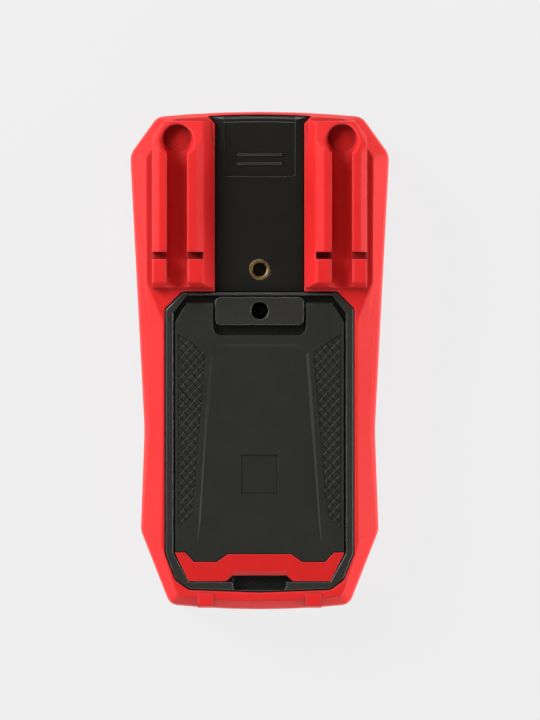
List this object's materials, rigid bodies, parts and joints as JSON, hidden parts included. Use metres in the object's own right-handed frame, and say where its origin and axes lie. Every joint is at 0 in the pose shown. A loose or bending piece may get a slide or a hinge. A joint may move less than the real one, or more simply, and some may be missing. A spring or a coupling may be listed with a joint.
{
  "type": "digital multimeter",
  "caption": "Handheld digital multimeter in a soft holster with probe holders, a kickstand over the battery door, a rotary selector, function buttons and input jacks.",
  "frame": {"origin": "centre of the bounding box at the table, under the holster's front rim; the meter lies face down", "axes": "+Z out of the back, +Y towards the display end, +X to the right seen from the back"},
  "size_m": [0.0936, 0.18, 0.052],
  "materials": {
    "red_rubber": "satin",
    "black_abs": "fine texture",
    "grey_abs": "fine texture",
    "dark_abs": "satin",
    "clear_lens": "clear",
    "lcd_grey": "clear",
    "white_plastic": "satin",
    "green_board": "solder mask",
    "silicone": "matt",
    "brass": "machined",
    "steel": "plated",
    "ceramic": "glazed",
    "cell_skin": "shrunk sleeve"
  },
  "bodies": {
    "meter": {"holster": "red_rubber", "rear_shell": "black_abs", "battery_door": "black_abs", "front_shell": "grey_abs", "terminal_block": "dark_abs", "lcd_frame": "dark_abs", "buzzer": "dark_abs", "display_lens": "clear_lens", "lcd_glass": "lcd_grey", "backlight": "white_plastic", "main_board": "green_board", "key_mat": "silicone", "zebra_strip": "silicone", "tripod_insert": "brass", "door_screw_insert": "brass", "jack_amps": "brass", "jack_milliamps": "brass", "jack_common": "brass", "jack_volts": "brass", "fuse_clip_1": "brass", "fuse_clip_2": "brass", "fuse_clip_3": "brass", "fuse_clip_4": "brass", "battery_door_screw": "steel", "case_screw_1": "steel", "case_screw_2": "steel", "case_screw_3": "steel", "case_screw_4": "steel", "board_screw_1": "steel", "board_screw_2": "steel", "battery_link_1": "steel", "battery_link_2": "steel", "battery_link_3": "steel", "battery_terminal_positive": "steel", "battery_terminal_negative": "steel", "current_shunt": "steel", "fuse_1": "ceramic", "fuse_2": "ceramic", "battery_1": "cell_skin", "battery_2": "cell_skin", "battery_3": "cell_skin", "battery_4": "cell_skin"},
    "stand": {"kickstand": "black_abs", "kickstand_foot": "red_rubber"},
    "selector": {"selector_knob": "dark_abs", "selector_rotor": "white_plastic", "selector_wiper_1": "brass", "selector_wiper_2": "brass", "click_ball_1": "steel", "click_ball_2": "steel", "click_spring_1": "steel", "click_spring_2": "steel"},
    "button_1": {"function_button_1": "dark_abs"},
    "button_2": {"function_button_2": "dark_abs"},
    "button_3": {"function_button_3": "dark_abs"},
    "button_4": {"function_button_4": "dark_abs"}
  },
  "joints": [
    {"name": "stand_hinge", "type": "hinge", "parent": "meter", "child": "stand", "pos_m": [0, 0.0195, 0.0415], "axis": [-1, 0, 0], "range_deg": [0, 60]},
    {"name": "selector_turn", "type": "hinge", "parent": "meter", "child": "selector", "pos_m": [0, -0.018, 0.005], "axis": [0, 0, 1], "range_deg": [0, 180]},
    {"name": "button_1_press", "type": "slide", "parent": "meter", "child": "button_1", "axis": [0, 0, 1], "range_m": [0, 0.0008], "stiffness_N_per_m": 1500, "springref_m": -0.0003},
    {"name": "button_2_press", "type": "slide", "parent": "meter", "child": "button_2", "axis": [0, 0, 1], "range_m": [0, 0.0008], "stiffness_N_per_m": 1500, "springref_m": -0.0003},
    {"name": "button_3_press", "type": "slide", "parent": "meter", "child": "button_3", "axis": [0, 0, 1], "range_m": [0, 0.0008], "stiffness_N_per_m": 1500, "springref_m": -0.0003},
    {"name": "button_4_press", "type": "slide", "parent": "meter", "child": "button_4", "axis": [0, 0, 1], "range_m": [0, 0.0008], "stiffness_N_per_m": 1500, "springref_m": -0.0003}
  ]
}
